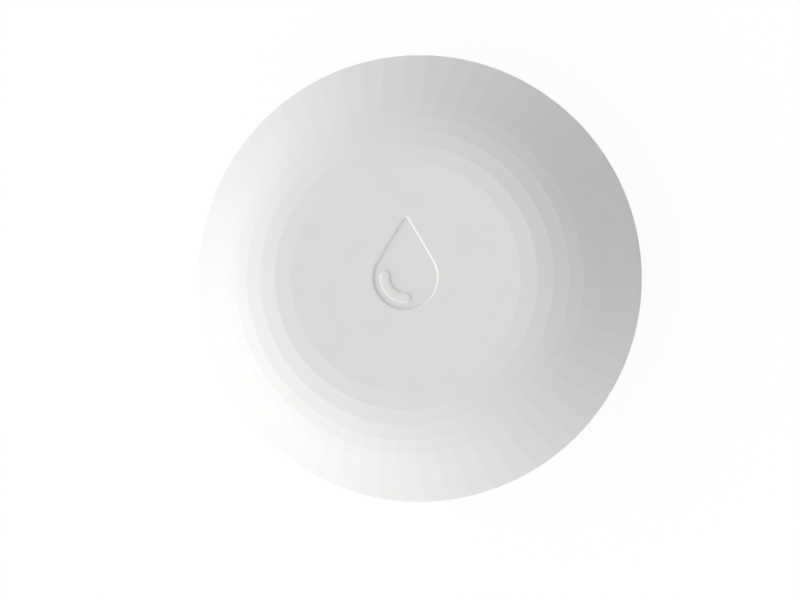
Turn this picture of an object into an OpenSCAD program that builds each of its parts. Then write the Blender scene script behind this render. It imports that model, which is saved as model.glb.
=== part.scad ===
// Water leak sensor: a round floor puck with a drop-shaped button, two sensing probes and a coin cell.
// Units are millimetres. The floor is z = 0, the body's axis is Z and the drop points along +Y.

/* [Housing] */
// Widest diameter of the body
body_d = 50; // [48:0.5:60]
// Height from the floor to the flat top
body_h = 15; // [14:0.1:18]
// Diameter of the flat top
flat_d = 25.2; // [23:0.2:27]
// Radius of the rounded shoulder
shoulder_r = 10.2; // [8:0.1:11]
// Height of the widest line of the body above the floor
rim_z = 5.8; // [5:0.1:7]
// Radius that breaks the widest line of the body
rim_round = 1.2; // [0.4:0.1:2]
// Wall thickness of the cover
wall = 1.8; // [1.4:0.1:2.2]
// Height of the underside above the floor
underside_z = 1; // [0.7:0.1:1.4]
// Thickness of the base's floor
base_t = 1.6; // [1.4:0.1:2.2]
// Height of the base's visible edge above its underside
base_edge_h = 2.4; // [2:0.1:2.8]
// How far the base's edge is set back from the cover
base_setback = 0.4; // [0.2:0.1:0.8]
// Radius of the base's rounded lower edge
base_round = 2; // [1:0.1:2]
// Gap of the parting line between cover and base
parting_gap = 0.2; // [0.1:0.05:0.4]
// Thickness of the base's spigot inside the cover
spigot_t = 1.8; // [1.5:0.1:2.2]
// Thickness of the O-ring cord between cover and base
housing_cord_d = 0.9; // [0.7:0.05:1]

/* [Drop button] */
// Radius of the round end of the button
drop_r = 3.36; // [2.8:0.02:4]
// Distance from the axis to the button's point
drop_point = 6.5; // [5.8:0.1:7]
// Depth of the button's face under the flat top
drop_depth = 0.25; // [0.2:0.05:0.6]
// Width of the sloped edge around the button
drop_bevel_w = 0.2; // [0.15:0.01:0.5]
// Gap between button and cover
button_gap = 0.07; // [0.05:0.01:0.12]
// Travel of the button
button_travel = 0.25; // [0.15:0.05:0.3]
// Radius of the button's retaining flange
button_flange_r = 5; // [4.6:0.1:5.6]
// Thickness of the button's retaining flange
button_flange_t = 0.5; // [0.4:0.1:0.8]
// Radius of the button's post
button_post_r = 1.5; // [1.2:0.1:1.8]
// Radius of the middle line of the raised crescent
crescent_r = 2.3; // [2:0.05:2.4]
// Width of the crescent halfway up its sides
crescent_w = 1.05; // [0.8:0.05:1.2]
// Height of the crescent
crescent_h = 0.2; // [0.15:0.05:0.4]
// Width of the crescent's sloped sides
crescent_slope_w = 0.2; // [0.1:0.02:0.3]
// Angle where the crescent starts
crescent_from = 176; // [160:1:185]
// Angle where the crescent ends
crescent_to = 272; // [260:1:285]

/* [Button seal] */
// Thickness of the diaphragm's web
seal_web_t = 0.25; // [0.2:0.05:0.4]
// Outer radius of the diaphragm
seal_r = 8.1; // [7.8:0.1:8.4]
// Width of the diaphragm's outer bead
seal_bead_w = 0.9; // [0.6:0.1:1]
// How far the diaphragm's outer bead goes below its web
seal_foot = 0.25; // [0.15:0.05:0.5]
// Thickness of the diaphragm's grip on the button's post
seal_grip_t = 0.7; // [0.5:0.1:1]
// Length of the diaphragm's grip on the button's post
seal_grip_l = 0.8; // [0.5:0.1:1]
// Thickness of the ring that clamps the diaphragm
retainer_t = 0.8; // [0.6:0.1:1]
// Radius of the heat-staked pins
stake_r = 0.6; // [0.5:0.05:0.8]
// Thickness of the pins' melted heads
stake_head_t = 0.4; // [0.3:0.05:0.6]
// Number of heat-staked pins
stake_n = 4; // [3:1:6]

/* [Coin cell and its cover] */
// Diameter of the coin cell
cell_d = 20; // [19.5:0.1:21]
// Thickness of the coin cell
cell_t = 3.2; // [2.5:0.1:3.6]
// Sheet thickness of the cell's can
cell_sheet = 0.3; // [0.2:0.05:0.4]
// Height of the cell's negative lid above its crimped edge
cell_step_h = 0.4; // [0.3:0.05:0.5]
// Width of the cell's edge around its negative lid
cell_step_w = 1.2; // [1.1:0.1:1.6]
// Thickness of the cell's gasket
gasket_t = 0.35; // [0.3:0.05:0.4]
// Thickness of the battery cover under the cell
door_t = 1.6; // [1.5:0.1:2]
// Thickness of the battery cover's flange
door_flange_t = 1.15; // [1:0.05:1.3]
// Wall of the battery cover's cup
cup_t = 1; // [0.8:0.1:1.3]
// Height of the battery cover's cup above its underside
cup_h = 3.6; // [3.4:0.1:3.8]
// How far the bayonet lugs stand out
lug_out = 0.9; // [0.7:0.1:1.1]
// Height of the bayonet lugs
lug_h = 1; // [0.8:0.1:1.2]
// Angle that one bayonet lug takes up
lug_span = 28; // [20:1:32]
// Number of bayonet lugs
lug_n = 3; // [2:1:3]
// Turn that frees the battery cover
door_turn = 45; // [42:1:46]
// Thickness of the O-ring cord under the flange
door_ring_d = 0.75; // [0.6:0.05:0.9]
// Depth of the coin slot
coin_slot_depth = 0.9; // [0.6:0.1:1]
// Length of the coin slot
coin_slot_l = 14; // [10:0.5:16]
// Width of the coin slot
coin_slot_w = 2.2; // [1.8:0.1:2.6]
// Radius of the locked dot and the unlocked ring beside the battery cover
mark_r = 0.9; // [0.6:0.1:1]
// Height of the lock marks
mark_h = 0.25; // [0.15:0.05:0.4]
// Distance of the lock marks from the rim between base and battery cover
mark_gap = 1.7; // [1.5:0.1:2]
// Distance from the middle of the battery cover's pointer to its tip
pointer_l = 1.3; // [1:0.1:1.4]
// Width of that pointer
pointer_w = 1.4; // [1:0.1:1.8]
// Thickness of the battery well's wall
well_t = 1.2; // [1:0.1:1.4]
// Radial gap around the turning battery cover
door_gap = 0.1; // [0.05:0.05:0.15]

/* [Circuit board] */
// Thickness of the circuit board
board_t = 1; // [0.8:0.1:1.6]
// Gap between the board's edge and the cover
board_gap = 0.5; // [0.3:0.1:1]
// Space between cell and board for the contacts
contact_space = 1.2; // [1:0.1:1.6]
// Sheet thickness of the battery contacts
contact_sheet = 0.25; // [0.2:0.01:0.3]
// Width of the battery contacts
contact_w = 4; // [3:0.1:5]
// Length of the negative contact's pad on the board
contact_pad_l = 6; // [4:0.5:8]
// Reach of each of the negative contact's arms beyond its pad
contact_arm_l = 3.2; // [2.5:0.1:4]
// Side of the radio chip
chip_side = 7; // [5:0.1:8]
// Height of the radio chip
chip_h = 0.9; // [0.7:0.1:1.2]
// Length of the crystal's can
crystal_l = 3.2; // [2.5:0.1:4]
// Width of the crystal's can
crystal_w = 2.5; // [2:0.1:3.2]
// Height of the crystal's can
crystal_h = 0.7; // [0.5:0.1:1]
// Length of the indicator's base
led_l = 3.2; // [2.8:0.1:3.6]
// Width of the indicator's base
led_w = 2.8; // [2.4:0.1:3.2]
// Height of the indicator's base
led_h = 0.7; // [0.5:0.1:1]
// Length of a chip capacitor or chip resistor
small_part_l = 1.6; // [1:0.1:2]
// Width of a chip capacitor or chip resistor
small_part_w = 0.8; // [0.5:0.1:1.2]
// Height of a chip capacitor
capacitor_h = 0.8; // [0.5:0.1:1]
// Height of a chip resistor
resistor_h = 0.45; // [0.3:0.05:0.6]
// Distance between neighbouring small parts
small_part_pitch = 2; // [1.6:0.1:2.4]
// Room between the push switch's legs and the parts beside it
switch_room = 2; // [1.5:0.1:2.5]
// Thickness of the printed antenna
trace_t = 0.07; // [0.05:0.01:0.1]
// Side of the push switch
switch_side = 6.2; // [5.8:0.1:6.6]
// Height of the push switch's body
switch_body_h = 1.7; // [1.6:0.1:2]
// Thickness of the push switch's steel plate
switch_plate_t = 0.25; // [0.2:0.05:0.3]
// Height of the switch stem's top above the board
switch_stem_h = 2.5; // [2.4:0.1:3]
// Radius of the switch stem
switch_stem_r = 1.5; // [1.2:0.1:1.7]

/* [Probes] */
// Diameter of a probe's head
probe_head_d = 5.2; // [4.6:0.1:5.6]
// Diameter of a probe's threaded shank
probe_shank_d = 2.5; // [2.2:0.1:2.8]
// Wall between the battery cover and a probe's seal
probe_wall = 1.2; // [1:0.1:1.4]
// Length of the threaded inserts
insert_l = 3; // [2.5:0.1:3.2]
// Radius of the threaded inserts
insert_r = 1.9; // [1.8:0.05:2.1]
// Wall of the cover's pillars around the inserts
pillar_t = 0.9; // [0.7:0.1:1.1]
// Height of the probe bosses above the base's floor
boss_h = 2; // [1.6:0.1:2.4]
// Radius of the moulded feet
foot_r = 2.4; // [2:0.1:2.8]

/* [Hidden] */
$fn = 96;

// Small gaps: between faces that press together, between faces that slide, and how far a cut runs past a face
touch = 0.02;
slide = 0.05;
over = 1;

// Outside of the body: an arc tangent to the flat top and a flank tangent to that arc. The room beside the flat
// top limits the arc.
flank_w = (body_d - flat_d) / 2;
flank_h = body_h - rim_z;
arc_share = 0.95;
arc_r = min(shoulder_r, arc_share * (pow(flank_w, 2) + pow(flank_h, 2)) / (2 * flank_h));
shoulder_c = [flat_d / 2, body_h - arc_r];
rim_from_c = [flank_w, arc_r - flank_h];
flank_slope = atan2(rim_from_c.x, rim_from_c.y) - acos(arc_r / norm(rim_from_c));
function shoulder_end(inset) = shoulder_c + (arc_r - inset) * [sin(flank_slope), cos(flank_slope)];
function flank_r(z, inset) = shoulder_end(inset).x + (shoulder_end(inset).y - z) / tan(flank_slope);
ceiling_z = body_h - wall;
bore_r = flank_r(rim_z, wall);

// Heights of the base
floor_z = underside_z + base_t;
base_edge_z = underside_z + base_edge_h;
skirt_z = base_edge_z + parting_gap;
spigot_gap = 2 * slide;
spigot_r = bore_r - spigot_gap;
spigot_top = rim_z - slide;
groove_depth = housing_cord_d + 2 * touch - spigot_gap;
groove_h = housing_cord_d + 4 * touch;
groove_z = (base_edge_z + spigot_top) / 2;

// Battery cover and the opening that it turns in
cell_gap = 0.2;
cup_in_r = cell_d / 2 + cell_gap;
cup_out_r = cup_in_r + cup_t;
throat_r = cup_out_r + door_gap;
lug_r = cup_out_r + lug_out;
well_in_r = lug_r + 2 * door_gap;
well_out_r = well_in_r + well_t;
ring_in_r = lug_r + 2 * door_gap;
ring_out_r = ring_in_r + door_ring_d + 4 * touch;
flange_rim = 0.4;
flange_r = ring_out_r + flange_rim;
pocket_r = flange_r + door_gap;
pocket_z = underside_z + door_flange_t + slide;
cup_top = underside_z + cup_h;
lug_z = cup_top - lug_h;
ledge_z = lug_z - slide;
lug_angles = [for (i = [0 : lug_n - 1]) 360 / lug_n * (i + 0.25)];
// The locked and the unlocked mark stand evenly to either side of 45 degrees, between a foot and a probe
mark_angle = 45 + door_turn / 2;
turn_margin = 1.5;
notch_span = lug_span + turn_margin;
guide_gap = 0.3;

// Stack from the cell to the board and the switch
cell_z = underside_z + door_t + slide;
cell_top = cell_z + cell_t;
board_z = cell_top + contact_space;
board_top = board_z + board_t;
board_r = flank_r(board_top, wall) - board_gap;
stem_top = board_top + switch_stem_h;

// Probes
probe_shank_r = probe_shank_d / 2;
probe_bore_r = probe_shank_r + slide;
head_lap = 0.4;
probe_ring_d = probe_head_d / 2 - probe_shank_r - head_lap;
probe_ring_r = probe_shank_r + probe_ring_d + 4 * touch;
probe_r = pocket_r + probe_wall + probe_ring_r;
probe_sides = [-1, 1];
boss_wall = 0.8;
boss_r = probe_ring_r + boss_wall;
boss_top = floor_z + boss_h;
pillar_r = insert_r + pillar_t;
probe_top = board_top + insert_l - 2 * slide;
collar_r = pocket_r + well_t;

// Button
button_z = body_h - drop_depth;
flange_top = ceiling_z - slide;
flange_z = flange_top - button_flange_t;
web_top = flange_z - button_travel - slide;
web_z = web_top - seal_web_t;
bead_z = web_z - seal_foot;
retainer_top = bead_z - touch;
retainer_z = retainer_top - retainer_t;
stake_shoulder_r = 2 * stake_r;
stake_head_r = 1.6 * stake_r;
stake_ring_r = seal_r + stake_shoulder_r + slide;
retainer_lip = 0.3;
retainer_in_r = seal_r - seal_bead_w - retainer_lip;
retainer_out_r = stake_ring_r + stake_shoulder_r;

white = [0.93, 0.93, 0.92];
silicone = [0.86, 0.86, 0.85];
rubber_black = [0.12, 0.12, 0.12];
steel = [0.78, 0.78, 0.76];
brass = [0.8, 0.66, 0.35];
board_green = [0.05, 0.32, 0.16];
chip_black = [0.08, 0.08, 0.09];
copper = [0.78, 0.5, 0.28];
ceramic_tan = [0.68, 0.56, 0.42];

// A ring about Z
module ring(r_out, r_in, h) {
    difference() {
        cylinder(r = r_out, h = h);
        translate([0, 0, -over]) cylinder(r = r_in, h = h + 2 * over);
    }
}

// A ring of round cord about Z
module cord_ring(r, cord_d) {
    rotate_extrude() translate([r, 0]) circle(d = cord_d);
}

// A pie slice about Z, for cutting out part of a ring
module slice(r, from, to, h) {
    steps = 6;
    reach = r / cos((to - from) / steps / 2);
    angles = [for (i = [0 : steps]) from + (to - from) * i / steps];
    linear_extrude(h) polygon([[0, 0], for (a = angles) reach * [cos(a), sin(a)]]);
}

// Part of a ring about Z
module ring_part(r_out, r_in, from, to, h) {
    intersection() {
        ring(r_out, r_in, h);
        translate([0, 0, -over]) slice(r_out + over, from, to, h + 2 * over);
    }
}

// A pie slice of a disc, between two angles counted from the upright
module disc_slice(c, r, from, to) {
    middle = (from + to) / 2;
    reach = 2 * r;
    translate(c) intersection() {
        circle(r);
        polygon([[0, 0], for (a = [from, middle, to]) reach * [sin(a), cos(a)]]);
    }
}

// Half of the body's outline, set in by inset, from the height bottom up
module dome_outline(inset, bottom, round_r) {
    edge_r = flank_r(rim_z, inset);
    top = body_h - inset;
    round_c = [edge_r - round_r, rim_z - round_r * tan((90 - flank_slope) / 2)];
    round_end = round_c + round_r * [sin(flank_slope), cos(flank_slope)];
    polygon([[0, bottom], [edge_r, bottom], [edge_r, round_c.y], round_end, shoulder_end(inset),
        [shoulder_c.x, top], [0, top]]);
    disc_slice(shoulder_c, arc_r - inset, 0, flank_slope);
    if (round_r > 0) disc_slice(round_c, round_r, flank_slope, 90);
}

// Drop outline: a round end on the axis, and two sides to the point that cross it at a very small angle
module drop_outline(r) {
    cross_angle = 0.035;
    half_angle = asin(drop_r / drop_point) - cross_angle;
    point = r * drop_point / drop_r;
    side = point * sin(half_angle) * [cos(half_angle), sin(half_angle)];
    circle(r);
    polygon([[0, point], [-side.x, side.y], [0, 0], side]);
}

// Sheet metal strip along a path, as an outline of even thickness
function unit(v) = v / norm(v);
function left_of(v) = [-v.y, v.x];
function path_normal(p, i) = let (
        a = i == 0 ? p[1] - p[0] : p[i] - p[i - 1],
        b = i == len(p) - 1 ? a : p[i + 1] - p[i],
        n = unit(left_of(unit(a)) + left_of(unit(b))))
    n / (n * left_of(unit(a)));
module strip(path, t) {
    last = len(path) - 1;
    polygon(concat([for (i = [0 : last]) path[i] + path_normal(path, i) * t / 2],
        [for (i = [last : -1 : 0]) path[i] - path_normal(path, i) * t / 2]));
}

// A strip bent in the X-Z plane, w wide along Y
module bent_strip(path, t, w) {
    rotate([90, 0, 0]) translate([0, 0, -w / 2]) linear_extrude(w) strip(path, t);
}

module at_probes() {
    for (side = probe_sides) translate([side * probe_r, 0, 0]) children();
}

module at_stakes() {
    for (i = [0 : stake_n - 1]) rotate(360 / stake_n * (i + 0.5)) translate([stake_ring_r, 0, 0]) children();
}

module centred_box(x, y, z, size) {
    translate([x - size.x / 2, y - size.y / 2, z]) cube(size);
}

module top_cover() {
    pillar_h = body_h - board_top;
    stake_h = ceiling_z - retainer_z + touch;
    color(white) difference() {
        union() {
            rotate_extrude() difference() {
                dome_outline(0, skirt_z, rim_round);
                dome_outline(wall, skirt_z - over, 0);
            }
            intersection() {
                at_probes() translate([0, 0, board_top]) cylinder(r = pillar_r, h = pillar_h);
                rotate_extrude() dome_outline(wall / 2, skirt_z, 0);
            }
            at_stakes() {
                translate([0, 0, retainer_top + touch]) cylinder(r = stake_shoulder_r,
                    h = ceiling_z + wall / 2 - retainer_top);
                translate([0, 0, ceiling_z - stake_h]) cylinder(r = stake_r, h = stake_h);
                translate([0, 0, ceiling_z - stake_h - stake_head_t])
                    cylinder(r = stake_head_r, h = stake_head_t);
            }
        }
        translate([0, 0, ceiling_z - over]) linear_extrude(wall + 2 * over) drop_outline(drop_r + button_gap);
        translate([0, 0, button_z]) linear_extrude(2 * drop_depth,
            scale = 1 + 2 * drop_bevel_w / (drop_r + button_gap)) drop_outline(drop_r + button_gap);
        at_probes() translate([0, 0, board_top - over])
            cylinder(r = insert_r + touch, h = insert_l + over + touch);
        translate([0, led_y, ceiling_z - over]) cylinder(r = window_r, h = wall - window_skin + over);
    }
}

// Cross-section of the crescent, out from its middle line
module crescent_section() {
    foot = crescent_w / 2 + crescent_slope_w / 2;
    head = crescent_w / 2 - crescent_slope_w / 2;
    polygon([[0, -crescent_h / 2], [foot, -crescent_h / 2], [foot, 0], [head, crescent_h], [0, crescent_h]]);
}

module crescent() {
    half_turn = 180;
    rotate(crescent_from) rotate_extrude(angle = crescent_to - crescent_from) translate([crescent_r, 0]) {
        crescent_section();
        mirror([1, 0]) crescent_section();
    }
    rotate(crescent_to) translate([crescent_r, 0, 0]) rotate_extrude(angle = half_turn) crescent_section();
    rotate(crescent_from) translate([crescent_r, 0, 0]) rotate(half_turn)
        rotate_extrude(angle = half_turn) crescent_section();
}

module drop_button() {
    color(white) {
        translate([0, 0, flange_top]) linear_extrude(button_z - flange_top) drop_outline(drop_r);
        translate([0, 0, flange_z]) cylinder(r = button_flange_r, h = button_flange_t);
        translate([0, 0, stem_top + slide]) cylinder(r = button_post_r, h = flange_z - stem_top);
        translate([0, 0, button_z]) crescent();
    }
}

module button_seal() {
    grip_r = button_post_r + touch;
    grip_z = web_z - seal_grip_l;
    bead_in_r = seal_r - seal_bead_w;
    color(silicone) rotate_extrude() polygon([[grip_r, grip_z], [grip_r + seal_grip_t, grip_z],
        [grip_r + seal_grip_t, web_z], [bead_in_r, web_z], [bead_in_r, bead_z], [seal_r, bead_z],
        [seal_r, ceiling_z - touch], [bead_in_r, ceiling_z - touch], [bead_in_r, web_top],
        [grip_r, web_top]]);
}

module seal_retainer() {
    color(white) difference() {
        translate([0, 0, retainer_z]) ring(retainer_out_r, retainer_in_r, retainer_t);
        at_stakes() translate([0, 0, retainer_z - over])
            cylinder(r = stake_r + touch, h = retainer_t + 2 * over);
    }
}

module threaded_inserts() {
    waist = 0.25;
    band = insert_l / 5;
    color(brass) at_probes() difference() {
        translate([0, 0, board_top]) union() {
            cylinder(r = insert_r - waist, h = insert_l);
            for (i = [0, 2, 4]) translate([0, 0, i * band]) cylinder(r = insert_r, h = band);
        }
        translate([0, 0, board_top - over]) cylinder(r = probe_shank_r + touch, h = insert_l + 2 * over);
    }
}

module housing_seal() {
    color(rubber_black) translate([0, 0, groove_z])
        cord_ring(bore_r - touch - housing_cord_d / 2, housing_cord_d);
}

// The base's dish: floor, visible edge and the spigot that goes up inside the cover
module base_outline() {
    edge_r = body_d / 2 - base_setback;
    round_c = [edge_r - base_round, underside_z + base_round];
    difference() {
        union() {
            polygon([[0, underside_z], [round_c.x, underside_z], [edge_r, round_c.y],
                [edge_r, base_edge_z], [spigot_r, base_edge_z], [spigot_r, spigot_top],
                [spigot_r - spigot_t, spigot_top], [spigot_r - spigot_t, floor_z], [0, floor_z]]);
            disc_slice(round_c, base_round, 90, 180);
        }
        translate([spigot_r - groove_depth, groove_z - groove_h / 2])
            square([groove_depth + slide, groove_h]);
    }
}

module base_shell() {
    rib_t = 1;
    rib_h = 0.8;
    rib_n = 12;
    guide_span = 9;
    guide_angles = [60, 120, 240, 300];
    guide_z = cup_top + guide_gap;
    guide_h = cell_top - guide_z;
    stop_span = 3;
    stop_angle = lug_span / 2 + turn_margin + stop_span / 2;
    color(white) difference() {
        union() {
            rotate_extrude() base_outline();
            translate([0, 0, underside_z]) cylinder(r = collar_r, h = ledge_z - underside_z);
            translate([0, 0, ledge_z - slide]) ring(well_out_r, well_in_r, board_z - ledge_z + slide);
            at_probes() translate([0, 0, underside_z]) cylinder(r = boss_r, h = boss_top - underside_z);
            for (i = [0 : rib_n - 1]) rotate(360 / rib_n * (i + 0.5))
                translate([well_out_r, -rib_t / 2, underside_z])
                    cube([spigot_r - spigot_t / 2 - well_out_r, rib_t, base_t + rib_h]);
            for (side = probe_sides) translate([0, side * probe_r, 0])
                cylinder(r = foot_r, h = underside_z + slide);
            rotate(mark_angle) translate([pocket_r + mark_gap, 0, underside_z - mark_h])
                cylinder(r = mark_r, h = mark_h + slide);
            rotate(mark_angle - door_turn) translate([pocket_r + mark_gap, 0, underside_z - mark_h])
                ring(mark_r, mark_r / 2, mark_h + slide);
        }
        translate([0, 0, -over]) cylinder(r = pocket_r, h = pocket_z + over);
        translate([0, 0, underside_z]) cylinder(r = throat_r, h = board_z);
        for (a = lug_angles) rotate(a - door_turn) translate([0, 0, underside_z])
            ring_part(lug_r + door_gap, throat_r - over, -notch_span / 2, notch_span / 2,
                lug_z - underside_z);
        at_probes() translate([0, 0, -over]) cylinder(r = probe_bore_r, h = boss_top + 2 * over);
        at_probes() translate([0, 0, -over])
            cylinder(r = probe_ring_r, h = underside_z + over + probe_ring_d);
    }
    color(white) {
        for (a = lug_angles) for (stop_at = [stop_angle, -stop_angle - door_turn]) rotate(a + stop_at)
            translate([0, 0, ledge_z - slide])
                ring_part(well_in_r + slide, throat_r + slide, -stop_span / 2, stop_span / 2, lug_h);
        for (a = guide_angles) rotate(a) translate([0, 0, guide_z])
            ring_part(well_in_r + slide, cup_in_r, -guide_span / 2, guide_span / 2, guide_h);
    }
}

module battery_cover() {
    slot_r = (pow(coin_slot_l / 2, 2) + pow(coin_slot_depth, 2)) / (2 * coin_slot_depth);
    groove_floor = pocket_z - slide - door_ring_d + 2 * touch;
    color(white) difference() {
        union() {
            translate([0, 0, underside_z]) cylinder(r = flange_r, h = door_flange_t);
            translate([0, 0, underside_z]) cylinder(r = cup_out_r, h = cup_h);
            for (a = lug_angles) rotate(a) translate([0, 0, lug_z])
                ring_part(lug_r, cup_out_r - slide, -lug_span / 2, lug_span / 2, lug_h);
            rotate(mark_angle) translate([flange_r - mark_gap, 0, underside_z - mark_h])
                linear_extrude(mark_h + slide) polygon([[pointer_l, 0], [-pointer_l / 2, pointer_w / 2],
                    [-pointer_l / 2, -pointer_w / 2]]);
        }
        translate([0, 0, underside_z + door_t]) cylinder(r = cup_in_r, h = cup_h);
        translate([0, 0, groove_floor]) ring(ring_out_r, ring_in_r, door_flange_t);
        translate([0, coin_slot_w / 2, underside_z + coin_slot_depth - slot_r]) rotate([90, 0, 0])
            cylinder(r = slot_r, h = coin_slot_w);
    }
}

module cover_seal() {
    color(rubber_black) translate([0, 0, pocket_z - touch - door_ring_d / 2 + touch / 2])
        cord_ring((ring_in_r + ring_out_r) / 2, door_ring_d - touch);
}

// Coin cell: the lid sits in the can, with the gasket between them
cap_r = cell_d / 2 - cell_step_w;
crimp_z = cell_top - cell_step_h;

module cell_can() {
    r = cell_d / 2;
    color(steel) rotate_extrude() polygon([[0, cell_z], [r, cell_z], [r, crimp_z],
        [r - cell_sheet, crimp_z + cell_sheet],
        [cap_r + gasket_t + touch, crimp_z + cell_sheet], [cap_r + gasket_t + touch, crimp_z],
        [r - cell_sheet, crimp_z], [r - cell_sheet, cell_z + cell_sheet], [0, cell_z + cell_sheet]]);
}

module cell_cap() {
    shelf_r = cell_d / 2 - cell_sheet - gasket_t - 2 * touch;
    bottom = cell_z + cell_sheet + gasket_t + touch;
    color(steel) rotate_extrude() polygon([[0, bottom], [shelf_r, bottom],
        [shelf_r, crimp_z - gasket_t - touch],
        [cap_r, crimp_z - gasket_t - touch], [cap_r, cell_top], [0, cell_top]]);
}

module cell_gasket() {
    out_r = cell_d / 2 - cell_sheet - touch;
    bottom = cell_z + cell_sheet + touch;
    color(silicone) rotate_extrude() polygon([[out_r - gasket_t, bottom], [out_r, bottom],
        [out_r, crimp_z - touch],
        [cap_r + gasket_t, crimp_z - touch], [cap_r + gasket_t, crimp_z + cell_sheet],
        [cap_r + touch, crimp_z + cell_sheet], [cap_r + touch, crimp_z - gasket_t],
        [out_r - gasket_t, crimp_z - gasket_t]]);
}

module positive_contact() {
    pad_z = board_z - contact_sheet / 2;
    touch_r = cell_d / 2 + contact_sheet / 2 + touch;
    tip_z = cup_top + guide_gap;
    tip_flare = 0.35;
    tip_l = 0.45;
    lean = 0.8;
    color(steel) rotate(180) bent_strip([[well_in_r - cell_gap, pad_z], [touch_r + lean, pad_z],
        [touch_r, tip_z + tip_l], [touch_r + tip_flare, tip_z]], contact_sheet, contact_w);
}

module negative_contact() {
    pad_z = board_z - contact_sheet / 2;
    touch_z = cell_top + contact_sheet / 2 + touch;
    tip_l = 1.2;
    pad = contact_pad_l / 2;
    arm = pad + contact_arm_l;
    tip = arm + tip_l;
    tip_z = (pad_z + touch_z) / 2;
    color(steel) bent_strip([[-tip, tip_z], [-arm, touch_z], [-pad, pad_z], [pad, pad_z],
        [arm, touch_z], [tip, tip_z]], contact_sheet, contact_w);
}

module circuit_board() {
    notch = 1.2;
    color(board_green) difference() {
        translate([0, 0, board_z]) cylinder(r = board_r, h = board_t);
        at_probes() translate([0, 0, board_z - over]) cylinder(r = probe_bore_r, h = board_t + 2 * over);
        translate([0, -board_r, board_z - over]) cylinder(r = notch, h = board_t + 2 * over);
    }
}

// Places of the parts on the board, and the thin spot in the cover over the indicator
chip_gap = 0.6;
leg_reach = 1.2;
chip_x = -switch_side / 2 - leg_reach - switch_room - chip_side / 2;
parts_x = switch_side / 2 + leg_reach + switch_room;
window_r = 1.4;
window_skin = 0.8;
led_y = -retainer_out_r - window_r - 2 * chip_gap;

module radio_chip() {
    dot_r = 0.35;
    dot_depth = 0.1;
    dot_at = 0.36 * chip_side;
    color(chip_black) difference() {
        centred_box(chip_x, 0, board_top, [chip_side, chip_side, chip_h]);
        translate([chip_x - dot_at, dot_at, board_top + chip_h - dot_depth]) cylinder(r = dot_r, h = over);
    }
}

module crystal() {
    lid_edge = 0.3;
    lid_h = 0.15;
    y = chip_side / 2 + crystal_w / 2 + chip_gap;
    color(steel) {
        centred_box(chip_x, y, board_top, [crystal_l, crystal_w, crystal_h]);
        centred_box(chip_x, y, board_top + crystal_h - slide,
            [crystal_l - 2 * lid_edge, crystal_w - 2 * lid_edge, lid_h]);
    }
}

module antenna_trace() {
    trace_w = 0.6;
    pitch = 1.6;
    bars = 8;
    length = 4;
    y = board_r - 2 * length;
    x_start = -pitch * (bars - 1) / 2;
    color(copper) translate([0, 0, board_top]) linear_extrude(trace_t) {
        for (i = [0 : bars - 1]) translate([x_start + i * pitch - trace_w / 2, y]) square([trace_w, length]);
        for (i = [0 : bars - 2]) translate([x_start + i * pitch, i % 2 == 0 ? y + length - trace_w : y])
            square([pitch, trace_w]);
        translate([x_start - trace_w / 2, y - length / 2]) square([trace_w, length]);
    }
}

module status_led() {
    lens_r = 1.1;
    lens_h = 0.8;
    color([0.95, 0.95, 0.9]) {
        centred_box(0, led_y, board_top, [led_l, led_w, led_h]);
        translate([0, led_y, board_top + led_h - slide]) cylinder(r = lens_r, h = lens_h);
    }
}

// A column of small parts on the board, with its middle at x, y
module small_parts(x, y, n, h) {
    for (i = [0 : n - 1]) centred_box(x, y + (i - (n - 1) / 2) * small_part_pitch, board_top,
        [small_part_l, small_part_w, h]);
}

module chip_capacitors() {
    beside_switch = 4;
    beside_chip = 2;
    chip_y = -chip_side / 2 - chip_gap - small_part_w - small_part_pitch / 2;
    color(ceramic_tan) {
        small_parts(parts_x, 0, beside_switch, capacitor_h);
        for (side = probe_sides)
            small_parts(chip_x + side * small_part_pitch, chip_y, beside_chip, capacitor_h);
    }
}

module chip_resistors() {
    beside_capacitors = 3;
    column_x = parts_x + small_part_l + chip_gap;
    led_x = led_l / 2 + small_part_l;
    color(chip_black) {
        small_parts(column_x, 0, beside_capacitors, resistor_h);
        for (side = probe_sides) small_parts(side * led_x, led_y, 1, resistor_h);
    }
}

// Push switch: body with a round cavity, dome spring, stem and steel plate
cavity_r = 2.4;
switch_floor_t = 0.4;
cavity_z = board_top + switch_floor_t;
plate_z = board_top + switch_body_h + touch;
stem_flange_t = 0.4;
stem_flange_top = plate_z - slide;
stem_flange_z = stem_flange_top - stem_flange_t;
dome_rise = stem_flange_z - slide - cavity_z;

module switch_body() {
    color(chip_black) difference() {
        centred_box(0, 0, board_top, [switch_side, switch_side, switch_body_h]);
        translate([0, 0, cavity_z]) cylinder(r = cavity_r, h = switch_body_h);
    }
}

module switch_plate() {
    color(steel) difference() {
        centred_box(0, 0, plate_z, [switch_side, switch_side, switch_plate_t]);
        translate([0, 0, plate_z - over])
            cylinder(r = switch_stem_r + 2 * slide, h = switch_plate_t + 2 * over);
    }
}

module switch_dome() {
    sheet = 0.1;
    dome_edge_r = cavity_r - 2 * slide;
    sphere_r = (pow(dome_edge_r, 2) + pow(dome_rise, 2)) / (2 * dome_rise);
    color(steel) translate([0, 0, cavity_z]) intersection() {
        translate([0, 0, dome_rise - sphere_r]) difference() {
            sphere(sphere_r);
            sphere(sphere_r - sheet);
        }
        cylinder(r = cavity_r, h = 2 * dome_rise);
    }
}

module switch_stem() {
    color(chip_black) {
        translate([0, 0, stem_flange_z]) cylinder(r = cavity_r - 2 * slide, h = stem_flange_t);
        translate([0, 0, stem_flange_z]) cylinder(r = switch_stem_r, h = stem_top - stem_flange_z);
    }
}

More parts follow.
